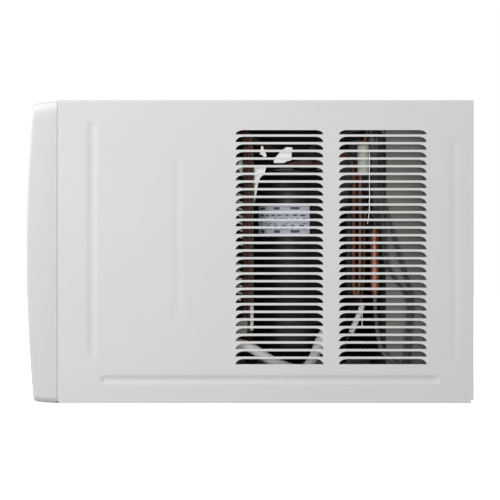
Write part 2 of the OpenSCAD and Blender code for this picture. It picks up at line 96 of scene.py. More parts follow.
TOP_FLAP = 6.0
# Pressed grooves in each side panel: ends of the middle line (y, z), half width and depth
GROOVES = (((-237.0, 77.0), (-237.0, 415.0), 10.5, 1.1),
           ((-109.0, 131.0), (-109.0, 363.5), 11.5, 0.45),
           ((307.0, 76.0), (307.0, 388.0), 9.0, 0.5),
           ((-217.5, 35.5), (278.5, 35.5), 8.5, 1.9))
BOW_RADIUS = 2490.0
BEZEL_LOW, BEZEL_HIGH = box_mm("front_bezel")
MIDDLE_Z = (BEZEL_LOW.z + BEZEL_HIGH.z) / 2
OUTLET = (-300.0, 60.0, 348.0, 430.0)
PANEL = (76.0, 306.0, 348.0, 430.0)
INTAKE = (-300.0, 300.0, 34.0, 326.0)
COMPRESSOR = Vector((215.0, 70.0, 0.0))
COMPRESSOR_RADIUS = 66.0


def face_y(z):
    """Y of the bowed front face at a height."""
    return BEZEL_LOW.y + BOW_RADIUS - math.sqrt(BOW_RADIUS ** 2 - (z - MIDDLE_Z) ** 2)


def polar(radius, degrees):
    """The two coordinates of a point at a radius and an angle."""
    angle = math.radians(degrees)
    return radius * math.cos(angle), radius * math.sin(angle)


# ---- materials

def link(tree, a, b):
    tree.links.new(a, b)


def noise(tree, scale, stretch, detail=3.0):
    """A noise value in object space, in waves per metre."""
    texture = tree.nodes.new("ShaderNodeTexNoise")
    texture.inputs["Scale"].default_value = scale
    texture.inputs["Detail"].default_value = detail
    coordinates = tree.nodes.new("ShaderNodeTexCoord")
    mapping = tree.nodes.new("ShaderNodeMapping")
    if stretch:
        mapping.inputs["Scale"].default_value = stretch
    link(tree, coordinates.outputs["Object"], mapping.inputs["Vector"])
    link(tree, mapping.outputs["Vector"], texture.inputs["Vector"])
    return texture.outputs["Fac"]


def ramp(tree, value, low, high, start=0.35, end=0.65):
    """Maps a 0 to 1 value to two colours."""
    node = tree.nodes.new("ShaderNodeValToRGB")
    node.color_ramp.elements[0].position = start
    node.color_ramp.elements[1].position = end
    node.color_ramp.elements[0].color = (*low, 1)
    node.color_ramp.elements[1].color = (*high, 1)
    link(tree, value, node.inputs["Fac"])
    return node.outputs["Color"]


def span(tree, value, low, high):
    """Maps a 0 to 1 value to a range of numbers."""
    node = tree.nodes.new("ShaderNodeMapRange")
    node.inputs["To Min"].default_value = low
    node.inputs["To Max"].default_value = high
    link(tree, value, node.inputs["Value"])
    return node.outputs["Result"]


MATERIALS = {}


def material(name, color, rough, metal=0.0, vary=0.06, mottle=14.0, grain=900.0, bump=0.05,
             depth=0.0002, stretch=None, gloss=0.5):
    """A surface whose colour, roughness and relief all come from noise at real scales.

    mottle and grain are the broad and the fine noise in waves per metre, vary is how far the
    colour strays, and bump and depth (in metres) are the relief of the grain."""
    made = bpy.data.materials.new(name)
    made.use_nodes = True
    tree = made.node_tree
    shader = tree.nodes["Principled BSDF"]
    shader.inputs["Metallic"].default_value = metal
    shader.inputs["Specular IOR Level"].default_value = gloss
    low = tuple(c * (1 - vary) for c in color)
    high = tuple(min(1.0, c * (1 + vary)) for c in color)
    broad = noise(tree, mottle, stretch)
    fine = noise(tree, grain, stretch, 2.0)
    link(tree, ramp(tree, broad, low, high), shader.inputs["Base Color"])
    link(tree, span(tree, fine, rough * 0.85, min(1.0, rough * 1.15)), shader.inputs["Roughness"])
    relief = tree.nodes.new("ShaderNodeBump")
    relief.inputs["Strength"].default_value = bump
    relief.inputs["Distance"].default_value = depth
    link(tree, fine, relief.inputs["Height"])
    link(tree, relief.outputs["Normal"], shader.inputs["Normal"])
    MATERIALS[name] = made
    return made


def galvanised(name, color):
    """Zinc-coated sheet with its crystal spangle."""
    made = material(name, color, 0.38, metal=0.85, vary=0.05)
    tree = made.node_tree
    shader = tree.nodes["Principled BSDF"]
    coordinates = tree.nodes.new("ShaderNodeTexCoord")
    cells = tree.nodes.new("ShaderNodeTexVoronoi")
    cells.inputs["Scale"].default_value = 140.0
    link(tree, coordinates.outputs["Object"], cells.inputs["Vector"])
    link(tree, span(tree, cells.outputs["Color"], 0.28, 0.5), shader.inputs["Roughness"])
    shades = ramp(tree, cells.outputs["Color"], tuple(c * 0.86 for c in color), color, 0.0, 1.0)
    link(tree, shades, shader.inputs["Base Color"])


def insulation(name, color, gloss=0.3):
    """The smooth cover of a wire."""
    material(name, color, 0.42, vary=0.3, mottle=60.0, gloss=gloss)


# One material for each slot in the record
material("cabinet_paint", (0.234, 0.234, 0.2355), 0.5, vary=0.012, mottle=6.0, grain=520.0,
         bump=0.12, depth=0.0001, gloss=0.3)
galvanised("galvanised_steel", (0.55, 0.57, 0.58))
material("zinc_screws", (0.6, 0.61, 0.63), 0.3, metal=1.0, grain=2500.0)
material("coil_fins", (0.62, 0.64, 0.66), 0.4, metal=0.9, vary=0.1, mottle=30.0)
material("copper", (0.125, 0.046, 0.027), 0.4, metal=0.6, vary=0.3, mottle=45.0)
material("weathered_steel", (0.125, 0.12, 0.108), 0.55, metal=0.3, vary=0.15)
material("air_moulding", (0.62, 0.62, 0.6), 0.8, vary=0.05, grain=350.0, bump=0.35, depth=0.0006)
material("motor_paint", (0.03, 0.03, 0.033), 0.4, vary=0.2)
material("compressor_paint", (0.004, 0.004, 0.005), 0.36, vary=0.3, mottle=40.0, bump=0.15,
         gloss=0.22)
material("dark_plastic", (0.02, 0.02, 0.022), 0.5, vary=0.15, bump=0.1)
material("label_film", (0.44, 0.48, 0.54), 0.65, vary=0.06, gloss=0.25)
material("black_rubber", (0.012, 0.012, 0.012), 0.75, vary=0.2, gloss=0.2)
material("white_insulation", (0.62, 0.62, 0.61), 0.85, vary=0.06, grain=700.0, bump=0.4,
         depth=0.0004)
material("capacitor_can", (0.62, 0.63, 0.65), 0.3, metal=0.95, stretch=(1, 30, 1))
material("circuit_board", (0.02, 0.12, 0.05), 0.4, vary=0.2, mottle=90.0)
insulation("red_wire", (0.07, 0.02, 0.014))
insulation("dark_wire", (0.02, 0.02, 0.02), gloss=0.5)
material("white_nylon", (0.97, 0.97, 0.95), 0.45, vary=0.02)
material("front_plastic", (0.198, 0.198, 0.1994), 0.5, vary=0.008, mottle=5.0, grain=1400.0,
         bump=0.12, depth=0.00008)
material("panel_plastic", (0.21, 0.217, 0.23), 0.4, vary=0.02)
material("display_glass", (0.006, 0.006, 0.008), 0.22, vary=0.1)
material("button_plastic", (0.33, 0.33, 0.335), 0.38, vary=0.015)
material("seal_foam", (0.03, 0.03, 0.03), 0.95, vary=0.2, grain=600.0, bump=0.5, depth=0.0006)
material("filter_plastic", (0.09, 0.1, 0.11), 0.55, vary=0.08)
material("filter_net", (0.03, 0.033, 0.036), 0.6, vary=0.1)

# Surfaces of pieces that differ from their slot's material
# Outside colour of the left side panel, and the near-black painted shade on its inner face
OUTSIDE_GREY = (0.237, 0.237, 0.2385)
INSIDE_PAINTED_SHADE = (0.02, 0.02, 0.02)


def paint_shade_inside(made):
    """Paints shade on the faces that look towards +X, into the unit: a near-black colour stands in
    for the shade there, while the real sheet has the same paint on both faces.
    """
    tree = made.node_tree
    geometry = tree.nodes.new("ShaderNodeNewGeometry")
    parts = tree.nodes.new("ShaderNodeSeparateXYZ")
    link(tree, geometry.outputs["Normal"], parts.inputs["Vector"])
    shades = ramp(tree, parts.outputs["X"], OUTSIDE_GREY, INSIDE_PAINTED_SHADE, 0.45, 0.55)
    link(tree, shades, tree.nodes["Principled BSDF"].inputs["Base Color"])


# Left side panel's paint, with painted shade on the faces that look into the unit
paint_shade_inside(material("paint_with_shaded_inside", OUTSIDE_GREY, 0.5, grain=520.0, bump=0.12, depth=0.0001,
                       gloss=0.3))
material("bright_copper", (0.34, 0.13, 0.075), 0.36, metal=0.7, vary=0.25, mottle=30.0)
insulation("brown_wire", (0.045, 0.02, 0.013))
insulation("ochre_wire", (0.085, 0.05, 0.018))
material("cream_tape", (0.42, 0.42, 0.37), 0.7, vary=0.1, grain=800.0, bump=0.3)
material("olive_foam", (0.26, 0.27, 0.21), 0.85, vary=0.1, grain=500.0, bump=0.4)
material("label_ink", (0.03, 0.035, 0.05), 0.5, vary=0.1)
material("icon_ink", (0.10, 0.11, 0.13), 0.5, vary=0.05)
SLOT_OF = {row["node"]: row["material_slot"] for row in frame["record"]["subparts"]}
BODY_OF = {node: body for body, nodes in frame["record"]["behaviour"]["bodies"].items()
           for node in nodes}

for node, shape in NODES.items():
    shape.data.materials.clear()
    shape.data.materials.append(MATERIALS[SLOT_OF[node]])


# ---- mesh helpers

def add_object(name, data):
    """A new object in the scene."""
    made = bpy.data.objects.new(name, data)
    bpy.context.scene.collection.objects.link(made)
    return made


def shade(mesh, angle=38.0):
    """Smooth faces with sharp edges above an angle."""
    work = bmesh.new()
    work.from_mesh(mesh)
    bmesh.ops.remove_doubles(work, verts=work.verts, dist=1e-6)
    bmesh.ops.recalc_face_normals(work, faces=work.faces)
    for face in work.faces:
        face.smooth = True
    for edge in work.edges:
        edge.smooth = len(edge.link_faces) != 2 or edge.calc_face_angle(0.0) < math.radians(angle)
    work.to_mesh(mesh)
    work.free()


def piece(name, work, node, replaces=(), surface=None, angle=38.0):
    """Turns a bmesh in millimetres into a piece that rides with a CAD node's body."""
    bmesh.ops.scale(work, vec=(MM, MM, MM), verts=work.verts)
    mesh = bpy.data.meshes.new(name)
    work.to_mesh(mesh)
    work.free()
    shade(mesh, angle)
    made = add_object(name, mesh)
    mesh.materials.append(MATERIALS[surface or SLOT_OF[node]])
    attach(made, BODY_OF[node])
    if replaces:
        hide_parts(*replaces)
    return made


def apply_modifiers(made):
    """Bakes a piece's modifiers into its mesh."""
    graph = bpy.context.evaluated_depsgraph_get()
    mesh = bpy.data.meshes.new_from_object(made.evaluated_get(graph))
    made.modifiers.clear()
    made.data = mesh


def solidify(made, thickness):
    """Gives a skin its thickness, inwards from the modelled face."""
    modifier = made.modifiers.new("thickness", "SOLIDIFY")
    modifier.thickness = thickness * MM
    modifier.offset = -1.0
    modifier.use_even_offset = True
    apply_modifiers(made)
    shade(made.data)


def add_block(work, low, high):
    """A closed block between two corners."""
    corners = [work.verts.new((x, y, z)) for x in (low[0], high[0]) for y in (low[1], high[1])
               for z in (low[2], high[2])]
    for loop in ((0, 1, 3, 2), (4, 6, 7, 5), (0, 4, 5, 1), (2, 3, 7, 6), (0, 2, 6, 4),
                 (1, 5, 7, 3)):
        work.faces.new([corners[k] for k in loop])


def add_prism(work, outline, place, start, end):
    """A closed prism: outline points placed at two ends by place(point, along)."""
    rings = [[work.verts.new(place(p, s)) for p in outline] for s in (start, end)]
    count = len(outline)
    for k in range(count):
        after = (k + 1) % count
        work.faces.new((rings[0][k], rings[0][after], rings[1][after], rings[1][k]))
    work.faces.new(rings[0][::-1])
    work.faces.new(rings[1])


def add_rings(work, rings):
    """A closed solid through rings of equal length, capped at both ends."""
    made = [[work.verts.new(p) for p in ring] for ring in rings]
    count = len(made[0])
    for near, far in zip(made, made[1:]):
        for k in range(count):
            after = (k + 1) % count
            work.faces.new((near[k], near[after], far[after], far[k]))
    work.faces.new(made[0][::-1])
    work.faces.new(made[-1])


def add_lathe(work, profile, centre, steps):
    """Turns a profile of (radius, height) points about an upright axis through centre."""
    rings = [[work.verts.new(Vector(centre) + Vector((*polar(radius, 360 * k / steps), height)))
              for radius, height in profile] for k in range(steps)]
    for near, far in zip(rings, rings[1:] + rings[:1]):
        for i in range(len(profile) - 1):
            work.faces.new((near[i], far[i], far[i + 1], near[i + 1]))
    bmesh.ops.remove_doubles(work, verts=work.verts, dist=1e-5)


def add_closed_lathe(work, profile, centre, steps, start, sweep):
    """Part of a turn of a closed profile, with both ends capped."""
    rings = []
    for k in range(steps + 1):
        turned = [(*polar(radius, start + sweep * k / steps), z) for radius, z in profile]
        rings.append([(centre.x + x, centre.y + y, z) for x, y, z in turned])
    add_rings(work, rings)


CURVE_STEPS = 8


def smooth_route(points):
    """Points of a smooth curve through the points of a route."""
    points = [Vector(p) for p in points]
    last = len(points) - 1
    curve = []
    for i in range(last):
        a, b, c, d = points[max(i - 1, 0)], points[i], points[i + 1], points[min(i + 2, last)]
        for k in range(CURVE_STEPS):
            t = k / CURVE_STEPS
            curve.append(0.5 * (2 * b + (c - a) * t + (2 * a - 5 * b + 4 * c - d) * t ** 2
                                + (3 * b - a - 3 * c + d) * t ** 3))
    curve.append(points[last])
    return curve


def add_tube(work, route, radius, sides, ripple=None):
    """A closed tube swept along a route. ripple(distance) scales its radius."""
    path = smooth_route(route)
    last = len(path) - 1
    across = None
    rings = []
    travelled = 0.0
    for i, point in enumerate(path):
        tangent = (path[min(i + 1, last)] - path[max(i - 1, 0)]).normalized()
        if across is None:
            across = tangent.orthogonal()
        across = (across - tangent * across.dot(tangent)).normalized()
        other = tangent.cross(across)
        travelled += (point - path[i - 1]).length if i else 0.0
        size = radius * (ripple(travelled) if ripple else 1.0)
        rings.append([work.verts.new(point + size * (math.cos(a) * across + math.sin(a) * other))
                      for a in (2 * math.pi * k / sides for k in range(sides))])
    for near, far in zip(rings, rings[1:]):
        for k in range(sides):
            after = (k + 1) % sides
            work.faces.new((near[k], near[after], far[after], far[k]))
    work.faces.new(rings[0][::-1])
    work.faces.new(rings[-1])


def cut_box(made, low, high):
    """Cuts a block out of a piece."""
    work = bmesh.new()
    add_block(work, Vector(low) * MM, Vector(high) * MM)
    bmesh.ops.recalc_face_normals(work, faces=work.faces)
    mesh = bpy.data.meshes.new("cutter")
    work.to_mesh(mesh)
    work.free()
    cutter = add_object("cutter", mesh)
    modifier = made.modifiers.new("cut", "BOOLEAN")
    modifier.object = cutter
    modifier.operation = "DIFFERENCE"
    apply_modifiers(made)
    bpy.data.objects.remove(cutter)
    shade(made.data)


# ---- cabinet skins

def stations(*runs):
    """Grid lines from (start, end, step) runs, ends included once."""
    lines = []
    for start, end, step in runs:
        count = max(1, round((end - start) / step))
        lines += [start + (end - start) * k / count for k in range(count + 1)]
    kept = []
    for value in sorted(lines):
        if not kept or value - kept[-1] > 0.05:
            kept.append(value)
    return kept


def groove_depth(y, z):
    """How far a side panel is pressed in at a point."""
    deepest = 0.0
    for (ya, za), (yb, zb), half, depth in GROOVES:
        run = Vector((yb - ya, zb - za))
        t = max(0.0, min(1.0, (Vector((y - ya, z - za)).dot(run)) / run.length_squared))
        away = min(1.0, (Vector((y - ya, z - za)) - run * t).length / half)
        deepest = max(deepest, depth * (1 + math.cos(math.pi * away)) / 2)
    return deepest


class Skin:
    """A sheet on a plane: a grid whose vertices are shared by their place on it."""

    def __init__(self, place):
        self.work = bmesh.new()
        self.place = place
        self.made = {}

    def vertex(self, u, v, in_depth=0.0, tag=0):
        key = (round(u, 3), round(v, 3), tag)
        if key not in self.made:
            self.made[key] = self.work.verts.new(self.place(u, v, in_depth))
        return self.made[key]

    def face(self, corners):
        unique = []
        for corner in corners:
            if corner not in unique:
                unique.append(corner)
        if len(unique) > 2:
            self.work.faces.new(unique)

    def grid(self, us, vs, press=lambda u, v: 0.0):
        for u0, u1 in zip(us, us[1:]):
            for v0, v1 in zip(vs, vs[1:]):
                self.face([self.vertex(u, v, press(u, v))
                           for u, v in ((u0, v0), (u1, v0), (u1, v1), (u0, v1))])

    def louvre(self, u_start, u_end, v_low, height, cell_low, cell_high, side_lines, corner, depth):
        """One lanced louvre: a slot with round upper corners and its flap turned inwards."""
        arcs = [corner * (1 - math.cos(math.radians(a))) for a in range(0, 91, 15)]
        us = [u_start + a for a in arcs] + [u_end - a for a in arcs[::-1]]
        middle = stations((us[6], us[7], 22.0))[1:-1]
        us = us[:7] + middle + us[7:]

        def share(u):
            short = max(0.0, corner - min(u - u_start, u_end - u))
            return math.sqrt(max(0.0, 1 - (short / corner) ** 2))

        rim = [v for v in side_lines if cell_low - 0.01 <= v <= cell_high + 0.01]
        for left, right in ((u_start - SLOT_MARGIN, u_start), (u_end, u_end + SLOT_MARGIN)):
            upright = [self.vertex(right, v) for v in (cell_high, v_low, cell_low)]
            self.face([self.vertex(left, v) for v in rim] + upright)
        for u0, u1 in zip(us, us[1:]):
            rings = []
            for u in (u0, u1):
                reach = depth * share(u)
                turn = min(FLAP_BEND, reach)
                ring = [self.vertex(u, cell_low)]
                if reach < 0.01:
                    ring.append(self.vertex(u, v_low))
                else:
                    for a in (0, 30, 60, 90):
                        inner, along = polar(turn, a)
                        ring.append(self.vertex(u, v_low - turn + along, turn - inner, tag=a + 1))
                    ring.append(self.vertex(u, v_low, max(reach, turn + 0.01), tag=99))
                rings.append(ring)
            longest = max(len(ring) for ring in rings)
            near, far = [ring + ring[-1:] * (longest - len(ring)) for ring in rings]
            for i in range(len(near) - 1):
                self.face([near[i], far[i], far[i + 1], near[i + 1]])
            tops = [self.vertex(u, v_low + height * share(u)) for u in (u0, u1)]
            self.face([tops[0], tops[1], self.vertex(u1, cell_high), self.vertex(u0, cell_high)])
        return [u_start - SLOT_MARGIN] + us + [u_end + SLOT_MARGIN]


def side_skin(sign, name, node, columns, surface=None):
    """A side panel with pressed grooves and columns of lanced louvres."""
    skin = Skin(lambda u, v, depth: (sign * (HALF_WIDTH - depth), u, v))
    y0, y1 = SIDE_LOW.y, SIDE_HIGH.y
    z0, z1 = SIDE_LOW.z, SIDE_HIGH.z
    first = LOUVRE_FIRST - (LOUVRE_PITCH - LOUVRE_HEIGHT) / 2
    rows = [first + LOUVRE_PITCH * k for k in range(LOUVRE_COUNT + 1)]
    fine_rows = stations((rows[0], rows[-1], LOUVRE_PITCH / 4))
    # Grid lines: 1 to 1.5 mm apart across the grooves, wider apart elsewhere
    below = stations((z0, 26.0, 6.0), (26.0, 48.0, 1.0), (48.0, rows[0], 5.0))
    above = stations((rows[-1], 428.0, 1.5), (428.0, z1, 8.0))
    all_rows = stations(*[(v, v, 1) for v in below + fine_rows + above])
    fronts = stations((y0, -250.0, 6.0), (-250.0, -208.0, 1.0), (-208.0, -123.0, 9.0),
                      (-123.0, -97.0, 1.0), (-97.0, LOUVRE_COLUMNS[0][0] - SLOT_MARGIN, 8.0))
    backs = stations((LOUVRE_COLUMNS[1][1] + SLOT_MARGIN, 318.0, 1.5), (318.0, y1, 8.0))
    skin.grid(fronts, all_rows, groove_depth)
    skin.grid(backs, all_rows, groove_depth)
    if columns:
        gap = stations((columns[0][1] + SLOT_MARGIN, columns[1][0] - SLOT_MARGIN, 6.0))
    else:
        gap = stations((fronts[-1], backs[0], 8.0))
    skin.grid(gap, all_rows, groove_depth)
    for start, end in columns:
        for k in range(LOUVRE_COUNT):
            height = TOP_SLOT_HEIGHT if k == LOUVRE_COUNT - 1 else LOUVRE_HEIGHT
            lines = skin.louvre(start, end, LOUVRE_FIRST + LOUVRE_PITCH * k, height, rows[k],
                                rows[k + 1], fine_rows, LOUVRE_CORNER, FLAP_DEPTH)
        skin.grid(lines, below, groove_depth)
        skin.grid(lines, above, groove_depth)
    solidify(piece(name, skin.work, node, [node], surface), SHEET)


def top_skin():
    """The top panel: rounded long edges and three columns of louvres."""
    z1, half = TOP_HIGH.z, HALF_WIDTH - TOP_RADIUS
    skin = Skin(lambda u, v, depth: (u, v, z1 - depth))
    y0, y1 = TOP_LOW.y, TOP_HIGH.y
    first = TOP_FIRST - (TOP_PITCH - LOUVRE_HEIGHT) / 2
    rows = [first + TOP_PITCH * k for k in range(TOP_COUNT + 1)]
    ys = stations((y0, rows[0], 40.0)) + rows[1:] + stations((rows[-1], y1, 20.0))[1:]
    edges = [-half, half]
    for x in TOP_COLUMNS:
        edges[-1:-1] = [x - SLOT_MARGIN, x + TOP_SLOT_WIDTH + SLOT_MARGIN]
    for k in range(0, len(edges), 2):
        skin.grid(stations((edges[k], edges[k + 1], 40.0)), ys)
    for x in TOP_COLUMNS:
        for k in range(TOP_COUNT):
            lines = skin.louvre(x, x + TOP_SLOT_WIDTH, TOP_FIRST + TOP_PITCH * k, LOUVRE_HEIGHT,
                                rows[k], rows[k + 1], rows, TOP_CORNER, TOP_FLAP)
        skin.grid(lines, [v for v in ys if v <= rows[0] + 0.01])
        skin.grid(lines, [v for v in ys if v >= rows[-1] - 0.01])
    for sign in (-1, 1):
        previous = None
        for a in range(0, 91, 15):
            up, out = polar(TOP_RADIUS, a)
            ring = [skin.vertex(sign * half, y) if a == 0 else
                    skin.work.verts.new((sign * (half + out), y, z1 - TOP_RADIUS + up))
                    for y in ys]
            if previous:
                for i in range(len(ys) - 1):
                    skin.work.faces.new((previous[i], previous[i + 1], ring[i + 1], ring[i]))
            previous = ring
    solidify(piece("cabinet_top_skin", skin.work, "cabinet_top", ["cabinet_top"]), SHEET)


side_skin(1, "right_side_skin", "cabinet_right_side", LOUVRE_COLUMNS)
# The left side panel has painted shade on its inner face
side_skin(-1, "left_side_skin", "cabinet_left_side", (), "paint_with_shaded_inside")
top_skin()


# ---- moulded front

def rounded_rect(x0, x1, z0, z1, r):
    """Points round a rectangle with rounded corners."""
    points = []
    for cx, cz, turn in ((x1 - r, z1 - r, 0), (x0 + r, z1 - r, 90), (x0 + r, z0 + r, 180),
                         (x1 - r, z0 + r, 270)):
        for degrees in range(turn, turn + 91, 15):
            px, pz = polar(r, degrees)
            points.append(Vector((cx + px, cz + pz, 0)))
    return points


def outward(p, rect, r):
    """Outward direction at a point beside a rounded rectangle's edge."""
    x0, x1, z0, z1 = rect
    core = Vector((min(max(p.x, x0 + r), x1 - r), min(max(p.y, z0 + r), z1 - r), 0))
    away = p - core
    if away.length < 1e-4:
        return Vector((0, 0, 0))
    return away.normalized()


def moulded_face(name, node, outer, corner, edges, holes, wall, replaces, inset=0.0, rim=9.0,
                 back=None, grow=None, step=9.0):
    """A bowed moulding with rolled outer edges and openings.

    outer is (x0, x1, z0, z1) and edges its roll radii at the sides, bottom and top. Each hole is
    (limits, corner radius, roll radius, depth). The outer walls are rim deep, or run to Y = back,
    where grow gives a point's place."""
    side, bottom, top = edges
    x0, x1, z0, z1 = outer
    work = bmesh.new()
    loops = [rounded_rect(x0 + side, x1 - side, z0 + bottom, z1 - top, max(0.5, corner - side))]
    for limits, radius, roll, depth in holes:
        loops.append(rounded_rect(limits[0] - roll, limits[1] + roll, limits[2] - roll,
                                  limits[3] + roll, radius + roll))
    corners = [work.verts.new(p) for loop in loops for p in loop]
    for triangle in tessellate_polygon(loops):
        work.faces.new([corners[k] for k in triangle])
    for k in range(1, int((z1 - z0) / step)):
        geometry = list(work.verts) + list(work.edges) + list(work.faces)
        bmesh.ops.bisect_plane(work, geom=geometry, plane_co=(0, z0 + k * step, 0),
                               plane_no=(0, 1, 0), dist=1e-4)
    flat = {v: v.co.copy() for v in work.verts}
    rims = [e for e in work.edges if len(e.link_faces) == 1]

    def hole_at(p):
        for hole in holes:
            (a, b, c, d), _, roll, _ = hole
            if a - roll - 0.1 < p.x < b + roll + 0.1 and c - roll - 0.1 < p.y < d + roll + 0.1:
                return hole
        return None

    chains = {}
    for v in {v for edge in rims for v in edge.verts}:
        p = flat[v]
        hole = hole_at(p)
        if hole:
            limits, radius, roll, depth = hole
            reach = -outward(p, limits, radius) * roll
        else:
            way = outward(p, outer, corner)
            reach = Vector((way.x * side, way.y * (top if way.y > 0 else bottom), 0))
            depth = rim
        radius = reach.length
        chain = [v]
        for a in (22.5, 45, 67.5, 90):
            c, s = polar(1, a)
            q = p + reach * s
            chain.append(work.verts.new((q.x, face_y(q.y) + inset + radius * (1 - c), q.y)))
        q = p + reach
        if hole or back is None:
            chain.append(work.verts.new((q.x, face_y(q.y) + inset + depth, q.y)))
        else:
            end = grow(q)
            chain.append(work.verts.new((end.x, back, end.y)))
        chains[v] = chain
    for edge in rims:
        a, b = chains[edge.verts[0]], chains[edge.verts[1]]
        for i in range(len(a) - 1):
            work.faces.new((a[i], b[i], b[i + 1], a[i + 1]))
    for v, p in flat.items():
        v.co = Vector((p.x, face_y(p.y) + inset, p.y))
    made = piece(name, work, node, replaces)
    solidify(made, wall)
    return made


FRONT_OUTLINE = (BEZEL_LOW.x + 1.2, BEZEL_HIGH.x - 1.2, 2.0, 449.4)
FRONT_WALL = 2.5


def to_seam(q):
    """Spreads the front's outline to the cabinet's size where the two meet."""
    x0, x1, z0, z1 = FRONT_OUTLINE
    return Vector((q.x * BEZEL_HIGH.x / x1,
                   BEZEL_LOW.z + (q.y - z0) / (z1 - z0) * (BEZEL_HIGH.z - 1.4 - BEZEL_LOW.z), 0))


def shrink(limits, by):
    """Limits drawn in on all four sides."""
    return (limits[0] + by, limits[1] - by, limits[2] + by, limits[3] - by)


def around(x, z, width, height):
    """Limits about a centre."""
    return (x - width / 2, x + width / 2, z - height / 2, z + height / 2)


bezel = moulded_face("front_moulding", "front_bezel", FRONT_OUTLINE, 6.2, (5.0, 6.0, 2.5),
                     [(limits, 3.0, 1.5, 9.0) for limits in (OUTLET, PANEL, INTAKE)], FRONT_WALL,
                     ["front_bezel"], back=BEZEL_HIGH.y, grow=to_seam)
slot_low, slot_high = box_mm("filter_frame")
cut_box(bezel, (-HALF_WIDTH - 2, slot_low.y - 0.5, slot_low.z - 0.5),
        (-HALF_WIDTH + 4, slot_high.y + 0.5, slot_high.z + 0.5))


# ---- grille, controls and outlet

def rounded_profile(depth, height, radius):
    """A slat's section: square at the back, rounded towards the front (low y)."""
    points = []
    for sign, turn in ((1, 90), (-1, 180)):
        for degrees in range(turn, turn + 91, 30):
            y, z = polar(radius, degrees)
            points.append((radius + y, sign * (height / 2 - radius) + z))
    return points + [(depth, -height / 2), (depth, height / 2)]


moulded_face("intake_frame", "intake_grille", shrink(INTAKE, 0.2), 2.8, (1.0, 1.0, 1.0),
             [(shrink(INTAKE, 8), 2.0, 0.8, 8.8)], 2.0, ["intake_grille"], inset=0.8, rim=8.8)
SLAT_COUNT = 25
SLAT_FIRST = INTAKE[2] + 14            # height of the lowest slat
SLAT_PITCH = 11
RIB_WIDTH = 2.2
slats = bmesh.new()
for k in range(SLAT_COUNT):
    z = SLAT_FIRST + SLAT_PITCH * k
    add_prism(slats, rounded_profile(8.4, 2.4, 1.1),
              lambda p, x, z=z: (x, face_y(z) + 1.2 + p[0], z + p[1]),
              INTAKE[0] + 6.5, INTAKE[1] - 6.5)
for x in (-200, -100, 0, 100, 200):
    heights = [INTAKE[2] + 7 + k * (INTAKE[3] - INTAKE[2] - 14) / 24 for k in range(25)]
    edge = [(face_y(z) + 3.0, z) for z in heights] + [(face_y(z) + 9.4, z) for z in heights[::-1]]
    add_prism(slats, edge, lambda p, at: (at, p[0], p[1]), x - RIB_WIDTH / 2, x + RIB_WIDTH / 2)
piece("intake_slats", slats, "intake_grille")

BUTTONS = ("button_power", "button_mode", "button_fan", "button_down", "button_up", "button_timer")
button_at = {}
for node in BUTTONS:
    low, high = box_mm(node)
    button_at[node] = ((low.x + high.x) / 2, (low.z + high.z) / 2)
BUTTON_SIZE = (22.0, 10.0)
BUTTON_HOLE = (22.6, 10.6)
BUTTON_FLANGE = (26, 14)               # behind the fascia
display_low, display_high = box_mm("display_window")
DISPLAY = (display_low.x - 0.1, display_high.x + 0.1, display_low.z - 0.1, display_high.z + 0.1)
moulded_face("fascia_moulding", "control_fascia", shrink(PANEL, 0.2), 2.8, (1.2, 1.2, 1.2),
             [(DISPLAY, 1.0, 0.4, 2.4)]
             + [(around(x, z, *BUTTON_HOLE), 5.3, 0.4, 2.6) for x, z in button_at.values()],
             2.2, ["control_fascia"], inset=0.8, rim=2.6, step=6.0)


def stadium_ring(width, height, inset):
    """Points of an outline with round ends, drawn in by inset."""
    r = height / 2 - inset
    points = []
    for sign, turn in ((1, -90), (-1, 90)):
        for k in range(9):
            x, z = polar(r, turn + 22.5 * k)
            points.append((sign * (width - height) / 2 + x, z))
    return points


for node, (x, z) in button_at.items():
    front = face_y(z)
    work = bmesh.new()
    for size, stages in (
            (BUTTON_SIZE, ((2.2, -0.1), (1.6, -0.25), (0.9, -0.55), (0.4, -0.5), (0.1, -0.25),
                           (0.0, 0.1), (0.0, 6.0))),
            (BUTTON_FLANGE, ((0.3, 5.4), (0.0, 5.7), (0.0, 6.7)))):
        add_rings(work, [[(x + px, front + y, z + pz) for px, pz in stadium_ring(*size, inset)]
                         for inset, y in stages])
    stem = [polar(2.5, 15 * k) for k in range(24)]
    add_prism(work, stem, lambda p, y: (x + p[0], y, z + p[1]), front + 6.7, front + 8.2)
    piece(node + "_cap", work, node, [node], angle=30)


def add_stroke(work, points, width, y0, y1):
    """A printed line through points in X and Z."""
    for (xa, za), (xb, zb) in zip(points, points[1:]):
        run = Vector((xb - xa, zb - za))
        side = Vector((-run.y, run.x)).normalized() * width / 2
        ends = run.normalized() * width * 0.3
        outline = [(xa - ends.x + side.x, za - ends.y + side.y),
                   (xa - ends.x - side.x, za - ends.y - side.y),
                   (xb + ends.x - side.x, zb + ends.y - side.y),
                   (xb + ends.x + side.x, zb + ends.y + side.y)]
        add_prism(work, outline, lambda p, y: (p[0], y, p[1]), y0, y1)


def arc(radius, start, end, steps=14, dx=0.0, dz=0.0):
    """Points on an arc, angles from +X in degrees."""
    turned = [polar(radius, start + (end - start) * k / steps) for k in range(steps + 1)]
    return [(dx + x, dz + z) for x, z in turned]


